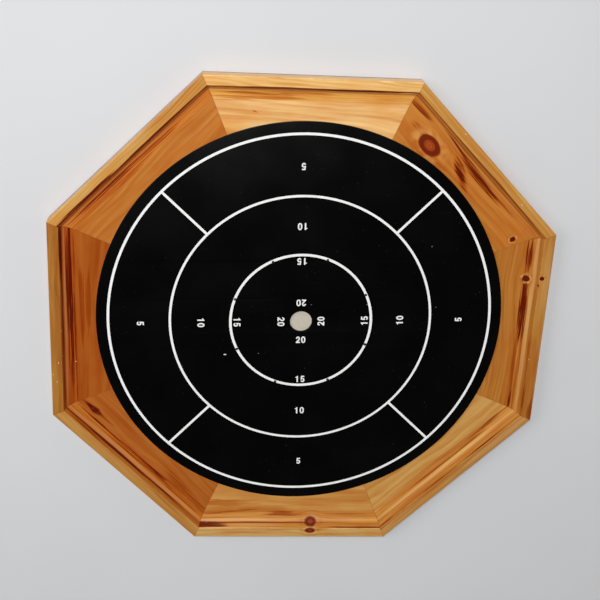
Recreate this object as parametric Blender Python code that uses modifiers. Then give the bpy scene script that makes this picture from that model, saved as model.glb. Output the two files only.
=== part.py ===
"""Crokinole board, lying face up on its flat back.

A mitred octagonal frame of eight pine mouldings carries a round black playing disc.  Each moulding
is one piece of stock: a raised rail along the outside and a thin flat ditch that runs in under the
disc.  A pale bed panel fills the frame's opening level with the ditch and shows as the floor of the
20-hole.  A hardboard back panel sits in a rabbet underneath and is screwed to the frame.

Metres, +Z up, origin under the middle of the frame on the surface that the board lies on.
"""
import math

import bmesh
import bpy
from mathutils import Matrix, Vector

# Frame
SIDES = 8
FRAME_APOTHEM = 0.3425        # centre to the middle of an outer side
RAIL_WIDTH = 0.015            # flat top of the rail
RAIL_HEIGHT = 0.025           # thickness of the stock, back to rail top
DITCH_HEIGHT = 0.0084         # back to ditch floor
DITCH_OUTER_APOTHEM = 0.311   # where the floor starts to rise
COVE_TOP_APOTHEM = 0.324      # where the rising slope meets the rail's inner wall
COVE_TOP_HEIGHT = 0.0147
OPENING_APOTHEM = 0.250       # inner edge of the stock, under the disc
RABBET_APOTHEM = 0.268        # outer edge of the rabbet for the back panel
RABBET_DEPTH = 0.0035
COVE_RADIUS = 0.010
WALL_FOOT_RADIUS = 0.003
RAIL_EDGE_RADIUS = 0.0013
BACK_EDGE_RADIUS = 0.0008
ARC_STEPS = 4                 # straight pieces in each rounded edge

# Playing disc, glued a little off centre and turned a little from square
DISC_RADIUS = 0.2825
DISC_THICKNESS = 0.0032
DISC_OFFSET = (0.0008, 0.0020)
DISC_EDGE_BEVEL = 0.0003
DISC_SEGMENTS = 128
HOLE_RADIUS = 0.0152          # the 20-hole
HOLE_SEGMENTS = 48
PEG_COUNT = 8
PEG_CENTRE = (0.0008, 0.0009)
PEG_CIRCLE_RADIUS = 0.0977
PEG_TURN = math.radians(3.24)
PEG_HOLE_RADIUS = 0.0020
PEG_HOLE_DEPTH = 0.0065       # from the disc's top into the bed panel
PEG_HOLE_SEGMENTS = 12

# Panels
BACK_THICKNESS = 0.0032
PANEL_EDGE_BEVEL = 0.0004

# Biscuits across the mitres
BISCUIT_LENGTH = 0.056
BISCUIT_WIDTH = 0.023
BISCUIT_THICKNESS = 0.0038
BISCUIT_HEIGHT = 0.0041       # its middle, above the back
BISCUIT_DISTANCE = 0.330      # its middle, from the board's centre along the mitre
BISCUIT_STEPS = 10            # straight pieces in each of its two curved sides

# Countersunk screws through the back panel into the frame
SCREWS_PER_SIDE = 2
SCREW_SPACING = 0.140
SCREW_APOTHEM = 0.259
SCREW_LENGTH = 0.0065
SCREW_HEAD_RADIUS = 0.0029
SCREW_SHANK_RADIUS = 0.0012
SCREW_HEAD_DEPTH = 0.0017
SCREW_RECESS = 0.0003         # how far the head sits inside the back panel's face
SCREW_SEGMENTS = 12
CROSS_LENGTH = 0.0030
CROSS_WIDTH = 0.0007
CROSS_DEPTH = 0.0010

TOUCH_GAP = 0.0003            # left between pieces that touch on the real board
MERGE_DISTANCE = 0.000001
SHARP_ANGLE = math.radians(30)

COMPASS = ("east", "northeast", "north", "northwest", "west", "southwest", "south", "southeast")
PINE_COLOURS = {
    "east": (0.56, 0.24, 0.06),
    "northeast": (0.62, 0.30, 0.09),
    "north": (0.72, 0.40, 0.15),
    "northwest": (0.58, 0.27, 0.07),
    "west": (0.47, 0.18, 0.04),
    "southwest": (0.54, 0.20, 0.04),
    "south": (0.62, 0.32, 0.10),
    "southeast": (0.60, 0.28, 0.08),
}


def remove_all_objects():
    for obj in list(bpy.data.objects):
        bpy.data.objects.remove(obj, do_unlink=True)


def new_collection(name):
    collection = bpy.data.collections.new(name)
    bpy.context.scene.collection.children.link(collection)
    return collection


def material(name, colour, roughness, metallic=0.0):
    mat = bpy.data.materials.new(name)
    mat.use_nodes = True
    shader = mat.node_tree.nodes["Principled BSDF"]
    shader.inputs["Base Color"].default_value = (*colour, 1.0)
    shader.inputs["Roughness"].default_value = roughness
    shader.inputs["Metallic"].default_value = metallic
    return mat


def make_object(name, mesh, collection, mat=None):
    obj = bpy.data.objects.new(name, mesh)
    collection.objects.link(obj)
    if mat is not None and mat.name not in mesh.materials:
        mesh.materials.append(mat)
    return obj


def make_cutter(name, mesh, collection):
    cutter = make_object(name, mesh, collection)
    cutter.hide_render = True
    cutter.display_type = 'WIRE'
    return cutter


def cut(obj, cutter):
    modifier = obj.modifiers.new("cut_" + cutter.name, 'BOOLEAN')
    modifier.operation = 'DIFFERENCE'
    modifier.solver = 'EXACT'
    modifier.object = cutter


def bevel(obj, width, segments=1, angle=math.radians(60)):
    modifier = obj.modifiers.new("eased_edges", 'BEVEL')
    modifier.width = width
    modifier.segments = segments
    modifier.limit_method = 'ANGLE'
    modifier.angle_limit = angle


def shade(mesh):
    mesh.shade_smooth()
    mesh.set_sharp_from_angle(angle=SHARP_ANGLE)


def mesh_from_bmesh(name, bm):
    bmesh.ops.recalc_face_normals(bm, faces=bm.faces)
    mesh = bpy.data.meshes.new(name)
    bm.to_mesh(mesh)
    bm.free()
    shade(mesh)
    return mesh


def evaluated_mesh(obj, name):
    """The object's mesh with its modifiers, in world space.  The object itself is removed."""
    bpy.context.view_layer.update()
    graph = bpy.context.evaluated_depsgraph_get()
    mesh = bpy.data.meshes.new_from_object(obj.evaluated_get(graph))
    mesh.name = name
    mesh.transform(obj.matrix_world)
    bpy.data.objects.remove(obj, do_unlink=True)
    bm = bmesh.new()
    bm.from_mesh(mesh)
    bmesh.ops.remove_doubles(bm, verts=bm.verts, dist=MERGE_DISTANCE)
    bm.to_mesh(mesh)
    bm.free()
    return mesh


def side_angle(side):
    return side * math.tau / SIDES


def mitre_angle(side):
    return (side + 0.5) * math.tau / SIDES


def rounded_outline(corners):
    """Points of a closed outline whose corners (x, y, radius) are rounded by arcs."""
    points = []
    for index, (x, y, radius) in enumerate(corners):
        here = Vector((x, y))
        if radius == 0:
            points.append(here)
            continue
        before = (Vector(corners[index - 1][:2]) - here).normalized()
        after = (Vector(corners[(index + 1) % len(corners)][:2]) - here).normalized()
        half = before.angle(after) / 2
        centre = here + (before + after).normalized() * radius / math.sin(half)
        first = here + before * radius / math.tan(half) - centre
        last = here + after * radius / math.tan(half) - centre
        sweep = first.angle_signed(last)
        for step in range(ARC_STEPS + 1):
            turn = Matrix.Rotation(-sweep * step / ARC_STEPS, 2)
            points.append(centre + turn @ first)
    return points


def extruded_outline(name, points, thickness, collection):
    """A flat outline in XY made into a prism centred on z = 0, as a mesh."""
    curve = bpy.data.curves.new(name, 'CURVE')
    curve.dimensions = '2D'
    curve.fill_mode = 'BOTH'
    curve.extrude = thickness / 2
    spline = curve.splines.new('POLY')
    spline.points.add(len(points) - 1)
    for point, place in zip(spline.points, points):
        point.co = (place[0], place[1], 0.0, 1.0)
    spline.use_cyclic_u = True
    obj = bpy.data.objects.new(name, curve)
    collection.objects.link(obj)
    mesh = evaluated_mesh(obj, name)
    bpy.data.curves.remove(curve)
    return mesh


def moulding_outline():
    """Section of the stock: x is the distance from the board's centre, y the height."""
    rail_inner = FRAME_APOTHEM - RAIL_WIDTH
    return rounded_outline([
        (RABBET_APOTHEM, 0.0, 0.0),
        (FRAME_APOTHEM, 0.0, BACK_EDGE_RADIUS),
        (FRAME_APOTHEM, RAIL_HEIGHT, RAIL_EDGE_RADIUS),
        (rail_inner, RAIL_HEIGHT, RAIL_EDGE_RADIUS),
        (COVE_TOP_APOTHEM, COVE_TOP_HEIGHT, WALL_FOOT_RADIUS),
        (DITCH_OUTER_APOTHEM, DITCH_HEIGHT, COVE_RADIUS),
        (OPENING_APOTHEM, DITCH_HEIGHT, 0.0),
        (OPENING_APOTHEM, RABBET_DEPTH, 0.0),
        (RABBET_APOTHEM, RABBET_DEPTH, 0.0),
    ])


def moulding_mesh(collection):
    """One frame side, facing +X, with both ends mitred."""
    length = 2.2 * FRAME_APOTHEM * math.tan(math.pi / SIDES)
    mesh = extruded_outline("moulding", moulding_outline(), length, collection)
    bm = bmesh.new()
    bm.from_mesh(mesh)
    bmesh.ops.rotate(bm, verts=bm.verts, matrix=Matrix.Rotation(math.pi / 2, 3, 'X'))
    for end in (1, -1):
        angle = end * math.pi / SIDES
        normal = Vector((-math.sin(angle), math.cos(angle), 0.0)) * end
        bmesh.ops.bisect_plane(
            bm, geom=bm.verts[:] + bm.edges[:] + bm.faces[:], dist=MERGE_DISTANCE,
            plane_co=normal * -TOUCH_GAP / 2, plane_no=normal, clear_outer=True)
        bmesh.ops.holes_fill(bm, edges=[edge for edge in bm.edges if edge.is_boundary])
    bmesh.ops.recalc_face_normals(bm, faces=bm.faces)
    bm.to_mesh(mesh)
    bm.free()
    shade(mesh)
    return mesh


def biscuit_outline(grow):
    """Two arcs that meet at blunt points, x along the mitre."""
    half_length = BISCUIT_LENGTH / 2 + grow
    half_width = BISCUIT_WIDTH / 2 + grow
    radius = (half_length ** 2 + half_width ** 2) / (2 * half_width)
    reach = math.asin(half_length / radius)
    points = []
    for side in (1, -1):
        for step in range(BISCUIT_STEPS):
            angle = reach * (1 - 2 * step / BISCUIT_STEPS)
            across = radius * math.cos(angle) - (radius - half_width)
            points.append((side * radius * math.sin(angle), side * across))
    return points


def place_on_mitre(obj, side):
    angle = mitre_angle(side)
    obj.location = (
        BISCUIT_DISTANCE * math.cos(angle), BISCUIT_DISTANCE * math.sin(angle), BISCUIT_HEIGHT)
    obj.rotation_euler = (0.0, 0.0, angle)


def octagon_panel(name, apothem, low, high):
    """A flat octagonal sheet with its flats square to X and Y, between two heights."""
    corner_radius = apothem / math.cos(math.pi / SIDES)
    bm = bmesh.new()
    bmesh.ops.create_cone(
        bm, cap_ends=True, segments=SIDES, depth=high - low,
        radius1=corner_radius, radius2=corner_radius,
        matrix=Matrix.Translation((0.0, 0.0, (low + high) / 2))
        @ Matrix.Rotation(math.pi / SIDES, 4, 'Z'))
    return mesh_from_bmesh(name, bm)


def add_cylinder(bm, centre, radius, low, high, segments):
    bmesh.ops.create_cone(
        bm, cap_ends=True, segments=segments, depth=high - low, radius1=radius, radius2=radius,
        matrix=Matrix.Translation((centre[0], centre[1], (low + high) / 2)))


def peg_points():
    """Middles of the peg holes, whose circle was drilled a little off the disc's own middle."""
    points = []
    for index in range(PEG_COUNT):
        angle = PEG_TURN + (index + 0.5) * math.tau / PEG_COUNT
        points.append((PEG_CENTRE[0] + PEG_CIRCLE_RADIUS * math.cos(angle),
                       PEG_CENTRE[1] + PEG_CIRCLE_RADIUS * math.sin(angle)))
    return points


def turned_mesh(name, profile, segments, collection):
    """A profile of (radius, height) points, top to bottom, turned about Z."""
    mesh = bpy.data.meshes.new(name)
    mesh.from_pydata([(radius, 0.0, height) for radius, height in profile],
                     [(i, i + 1) for i in range(len(profile) - 1)], [])
    obj = bpy.data.objects.new(name, mesh)
    collection.objects.link(obj)
    modifier = obj.modifiers.new("turn", 'SCREW')
    modifier.angle = math.tau
    modifier.steps = segments
    modifier.render_steps = segments
    modifier.use_merge_vertices = True
    modifier.merge_threshold = MERGE_DISTANCE
    return evaluated_mesh(obj, name)


def screw_profile(grow):
    """Countersunk screw standing point up, its head's face at z = 0."""
    return [
        (0.0, SCREW_LENGTH + grow),
        (SCREW_SHANK_RADIUS / 2 + grow, SCREW_LENGTH + grow),
        (SCREW_SHANK_RADIUS + grow, SCREW_LENGTH * 0.8),
        (SCREW_SHANK_RADIUS + grow, SCREW_HEAD_DEPTH + grow),
        (SCREW_HEAD_RADIUS + grow, grow),
        (SCREW_HEAD_RADIUS + grow, 0.0),
        (0.0, 0.0),
    ]


def screw_points():
    points = []
    for side in range(SIDES):
        angle = side_angle(side)
        for index in range(SCREWS_PER_SIDE):
            along = (index - (SCREWS_PER_SIDE - 1) / 2) * SCREW_SPACING
            points.append((SCREW_APOTHEM * math.cos(angle) - along * math.sin(angle),
                           SCREW_APOTHEM * math.sin(angle) + along * math.cos(angle)))
    return points


def copies_mesh(name, mesh, places):
    """One mesh holding a separate copy of another at each place."""
    bm = bmesh.new()
    for place in places:
        first = len(bm.verts)
        bm.from_mesh(mesh)
        bm.verts.ensure_lookup_table()
        bmesh.ops.translate(bm, verts=bm.verts[first:], vec=place)
    return mesh_from_bmesh(name, bm)


def cross_outline():
    """A plus sign, centred, for the screwdriver's recess."""
    arm = CROSS_LENGTH / 2
    half = CROSS_WIDTH / 2
    points = []
    for quarter in range(4):
        turn = Matrix.Rotation(quarter * math.pi / 2, 2)
        points += [turn @ Vector(point) for point in ((arm, -half), (arm, half), (half, half))]
    return points


def screw_mesh(cutters):
    """One screw with a cross recess in its head."""
    body = make_cutter("screw_blank", turned_mesh(
        "screw_blank", screw_profile(0.0), SCREW_SEGMENTS, cutters), cutters)
    cross = make_cutter("screw_cross", extruded_outline(
        "screw_cross", cross_outline(), 2 * CROSS_DEPTH, cutters), cutters)
    cut(body, cross)
    mesh = evaluated_mesh(body, "screw")
    bpy.data.objects.remove(cross, do_unlink=True)
    return mesh


def build_frame(parts, cutters, screw_cutter):
    slot_thickness = BISCUIT_THICKNESS + 2 * TOUCH_GAP
    slot_mesh = extruded_outline("biscuit_slot", biscuit_outline(TOUCH_GAP), slot_thickness, cutters)
    slots = []
    for side in range(SIDES):
        slot = make_cutter(f"biscuit_slot_{side + 1}", slot_mesh, cutters)
        place_on_mitre(slot, side)
        slots.append(slot)
    shape = moulding_mesh(cutters)
    for side, name in enumerate(COMPASS):
        pine = material("pine_" + name, PINE_COLOURS[name], 0.28)
        moulding = make_object("frame_moulding_" + name, shape.copy(), parts, pine)
        moulding.rotation_euler = (0.0, 0.0, side_angle(side))
        cut(moulding, slots[side])
        cut(moulding, slots[side - 1])
        cut(moulding, screw_cutter)


def build_biscuits(parts):
    mesh = extruded_outline("biscuit", biscuit_outline(0.0), BISCUIT_THICKNESS, parts)
    beech = material("beech", (0.55, 0.38, 0.22), 0.6)
    for side in range(SIDES):
        biscuit = make_object(f"mitre_biscuit_{side + 1}", mesh, parts, beech)
        place_on_mitre(biscuit, side)


def build_disc(parts, cutters, peg_cutter):
    bm = bmesh.new()
    low = DITCH_HEIGHT + TOUCH_GAP
    add_cylinder(bm, DISC_OFFSET, DISC_RADIUS, low, low + DISC_THICKNESS, DISC_SEGMENTS)
    disc = make_object("playing_disc", mesh_from_bmesh("playing_disc", bm), parts,
                       material("black_hardboard", (0.012, 0.012, 0.013), 0.35))
    bevel(disc, DISC_EDGE_BEVEL)
    bm = bmesh.new()
    add_cylinder(bm, DISC_OFFSET, HOLE_RADIUS, DITCH_HEIGHT, RAIL_HEIGHT, HOLE_SEGMENTS)
    hole = make_cutter("twenty_hole", mesh_from_bmesh("twenty_hole", bm), cutters)
    cut(disc, hole)
    cut(disc, peg_cutter)


def build_panels(parts, peg_cutter, screw_cutter):
    bed = make_object(
        "bed_panel",
        octagon_panel("bed_panel", OPENING_APOTHEM - TOUCH_GAP, RABBET_DEPTH, DITCH_HEIGHT),
        parts, material("pale_board", (0.72, 0.65, 0.58), 0.6))
    cut(bed, peg_cutter)
    back = make_object(
        "back_panel",
        octagon_panel("back_panel", RABBET_APOTHEM - TOUCH_GAP, 0.0, BACK_THICKNESS),
        parts, material("brown_hardboard", (0.23, 0.13, 0.07), 0.65))
    bevel(back, PANEL_EDGE_BEVEL)
    cut(back, screw_cutter)


def build_screws(parts, cutters):
    mesh = screw_mesh(cutters)
    zinc = material("zinc_plated_steel", (0.60, 0.60, 0.58), 0.35, 1.0)
    for number, (x, y) in enumerate(screw_points(), start=1):
        screw = make_object(f"back_screw_{number:02d}", mesh, parts, zinc)
        screw.location = (x, y, SCREW_RECESS)


def make_screw_cutter(cutters):
    blank = turned_mesh("screw_hole", screw_profile(TOUCH_GAP), SCREW_SEGMENTS, cutters)
    low = min(v.co.z for v in blank.vertices)
    for vertex in blank.vertices:
        if vertex.co.z <= low + MERGE_DISTANCE:
            vertex.co.z -= 2 * SCREW_RECESS
    places = [(x, y, SCREW_RECESS) for x, y in screw_points()]
    return make_cutter("screw_holes", copies_mesh("screw_holes", blank, places), cutters)


def make_peg_cutter(cutters):
    disc_top = DITCH_HEIGHT + TOUCH_GAP + DISC_THICKNESS
    bm = bmesh.new()
    for point in peg_points():
        add_cylinder(bm, point, PEG_HOLE_RADIUS, disc_top - PEG_HOLE_DEPTH, RAIL_HEIGHT,
                     PEG_HOLE_SEGMENTS)
    return make_cutter("peg_holes", mesh_from_bmesh("peg_holes", bm), cutters)


def main():
    remove_all_objects()
    parts = new_collection("crokinole_board")
    cutters = new_collection("cutters")
    screw_cutter = make_screw_cutter(cutters)
    peg_cutter = make_peg_cutter(cutters)
    build_frame(parts, cutters, screw_cutter)
    build_biscuits(parts)
    build_disc(parts, cutters, peg_cutter)
    build_panels(parts, peg_cutter, screw_cutter)
    build_screws(parts, cutters)


main()
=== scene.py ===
"""Looks of the crokinole board: varnished knotty pine, a black lacquered disc and white print.

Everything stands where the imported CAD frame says, in metres.  The materials work in millimetres,
and their colours are linear.
"""
import math
from collections import namedtuple

import bmesh
import bpy
from mathutils import Matrix, Vector


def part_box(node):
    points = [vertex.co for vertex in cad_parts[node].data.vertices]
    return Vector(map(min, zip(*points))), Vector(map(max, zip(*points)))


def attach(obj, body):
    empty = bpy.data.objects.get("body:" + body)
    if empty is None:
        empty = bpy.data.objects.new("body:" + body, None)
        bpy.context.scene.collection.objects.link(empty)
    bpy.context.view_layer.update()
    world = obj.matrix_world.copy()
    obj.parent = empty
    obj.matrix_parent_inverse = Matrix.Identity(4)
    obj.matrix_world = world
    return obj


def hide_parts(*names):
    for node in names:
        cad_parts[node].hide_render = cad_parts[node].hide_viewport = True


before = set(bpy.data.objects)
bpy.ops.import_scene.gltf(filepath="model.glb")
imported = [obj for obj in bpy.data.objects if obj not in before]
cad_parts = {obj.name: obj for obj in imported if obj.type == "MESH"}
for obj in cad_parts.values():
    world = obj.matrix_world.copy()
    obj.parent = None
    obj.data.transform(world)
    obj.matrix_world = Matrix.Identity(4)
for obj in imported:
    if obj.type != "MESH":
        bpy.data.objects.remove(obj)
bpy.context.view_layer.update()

MM = 0.001
WELD = 0.001 * MM
SIDES = 8
SIDE_TURN = math.tau / SIDES
COMPASS = ("east", "northeast", "north", "northwest", "west", "southwest", "south", "southeast")

# Levels and reaches, read off the frame
FRAME_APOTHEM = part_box("frame_moulding_east")[1].x
OPENING_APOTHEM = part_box("frame_moulding_east")[0].x
RAIL_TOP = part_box("frame_moulding_east")[1].z
DITCH_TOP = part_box("bed_panel")[1].z
RABBET_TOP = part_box("bed_panel")[0].z
BACK_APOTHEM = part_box("back_panel")[1].x
BACK_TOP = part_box("back_panel")[1].z
DISC_LOW, DISC_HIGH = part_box("playing_disc")
DISC_CENTRE = (DISC_LOW + DISC_HIGH) / 2
DISC_RADIUS = (DISC_HIGH.x - DISC_LOW.x) / 2

# Section of the mouldings
TOUCH_GAP = 0.3 * MM
MITRE_GAP = 0.08 * MM
RAIL_WIDTH = 15 * MM
COVE_FOOT_APOTHEM = 311 * MM
COVE_TOP_APOTHEM = 324 * MM
COVE_TOP = 14.7 * MM
COVE_RADIUS = 10 * MM
WALL_FOOT_RADIUS = 3 * MM
RAIL_EDGE_RADIUS = 1.3 * MM
BACK_EDGE_RADIUS = 0.8 * MM
BACK_PANEL_EDGE = 0.4 * MM
ARC_STEPS = 8  # to each rounded corner
MOULDING_STEPS = 112  # lengthwise
RAW_SLOT = 1  # the raw wood's place among a moulding's two materials

# Disc and print, by the disc's own centre and turn
PRINT_TURN = math.radians(1.84)
HOLE_RADIUS = 15.2 * MM
PEG_COUNT = 8
PEG_CIRCLE_RADIUS = 97.7 * MM
PEG_TURN = math.radians(1.4)  # the drilled circle against the print
PEG_DROP = 1.1 * MM
PEG_HOLE_RADIUS = 2.0 * MM
DISC_EDGE = 0.25 * MM
DISC_STEPS = 512
HOLE_STEPS = 128
PEG_HOLE_STEPS = 32
Ring = namedtuple("Ring", "radius width steps")  # radius of the painted line's middle
FIVE_RING = Ring(266.0 * MM, 3.5 * MM, 360)
TEN_RING = Ring(181.5 * MM, 3.3 * MM, 256)
FIFTEEN_RING = Ring(98.1 * MM, 3.6 * MM, 256)
SPOKE_WIDTH = 3.4 * MM
SPOKE_TURN = 90.0  # degrees
BETWEEN_SPOKES_STEPS = 64
INK_THICKNESS = 0.06 * MM
INK_GAP = 0.01 * MM
DIGIT_HEIGHT = 9.7 * MM
DIGIT_WIDTH = 0.67  # in digit heights, as the next and the digits' outlines are
DIGIT_ADVANCE = 0.76  # digit to digit
ZERO_SQUARENESS = 2.3  # 2 for an ellipse
ZERO_STEPS = 48
NUMBER_RADII = {"20": 27.9 * MM, "15": 88.9 * MM, "10": 138.8 * MM, "5": 222.0 * MM}

# Screws through the back panel
SCREW_HEAD_RADIUS = 2.9 * MM
SCREW_SHANK_RADIUS = 1.2 * MM
SCREW_HEAD_DEPTH = 1.7 * MM
SCREW_LENGTH = 6.5 * MM
SCREW_TAPER = 0.8  # share of the length before the point
SCREW_RIM = 0.15 * MM  # straight rim of the head
SCREW_EASE_IN = 0.04 * MM  # chamfer of the rim
SCREW_EASE_UP = 0.03 * MM
SCREW_STEPS = 36
SCREW_TURN = 2.4  # radians from one screw's cross to the next
CROSS_ARM = 1.55 * MM
CROSS_HALF_WIDTH = 0.36 * MM
CROSS_DEPTH = 1.1 * MM

# Studio and photograph
FLOOR_SIZE = 12.0
FLOOR_DROP = 0.2 * MM
KEY_PLACE = (-0.3, 1.07, 2.1)
KEY_TARGET = (0.0, 0.05, 0.0)
FILL_PLACE = (-1.6, 0.9, 1.9)
FILL_TARGET = (0.0, 0.0, 0.0)
CAMERA_PLACE = (-0.1361, 0.6092, 1.4472)
CAMERA_TARGET = (-0.0021, 0.0341, DISC_HIGH.z)
CAMERA_ROLL = math.radians(-3.087)
CAMERA_LENS = 67.37  # this and the sensor in millimetres
CAMERA_SENSOR = 36.0

# Tones of marks, and where tones start, in millimetres
LATE_WOOD_TINT = (0.80, 0.56, 0.36)
# Dark of burnt grain streaks, and of the painted shade under the rail.
BURNT_WOOD_AND_SHADE = (0.115, 0.008, 0.001)
# Tone of the painted highlights, pale streaks where the varnish catches light.
PAINTED_HIGHLIGHT_TONE = (1.0, 0.74, 0.36)
BARE_WOOD = (0.86, 0.66, 0.42)
COVE_TONE_STARTS = (307.0, 316.0)  # across the board
RAIL_TONE_STARTS = (333.0, 338.5)
PEG_HOLE_SHADE_STARTS = (85.0, 90.0)  # on the bed, from its middle
YEAR_WIDTH = 3.4
BIG_KNOT = 10
SCREEN_WAVES = 4.2  # radians to a millimetre of the hardboard's imprint
SCRATCH_TURN = 0.7

# Millimetres along a board, counter-clockwise from its middle, and across its unrolled surface,
# where a rise counts as SLOPE_SHARE of its height: ditch to 311, cove to 328, wall to 337, rail to
# 352.  The pith is the tree's middle in the section, and the slope is the grain's.  A fill above 0
# closes a streak's gaps.  Most dark streaks are grain.  The long ones just under the rail's inner
# edge on the north, northeast, northwest and west boards are painted shade.  A painted highlight is
# a pale streak, a painted reflection where the varnish catches light.
SLOPE_SHARE = 0.6
Streak = namedtuple("Streak", "along across length width strength fill slope", defaults=(0.0, 0.0))
Knot = namedtuple("Knot", "along across half_length half_width heart halo soft",
                  defaults=(0.0, 0.8, 0.0))
Nick = namedtuple("Nick", "along across length width")
Board = namedtuple("Board", "ditch cove rail pith slope seed streaks knots nicks gleams",
                   defaults=((), (), ()))
Wood = namedtuple("Wood", "out along height across calm knots line band cloud fibre lines")

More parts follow.
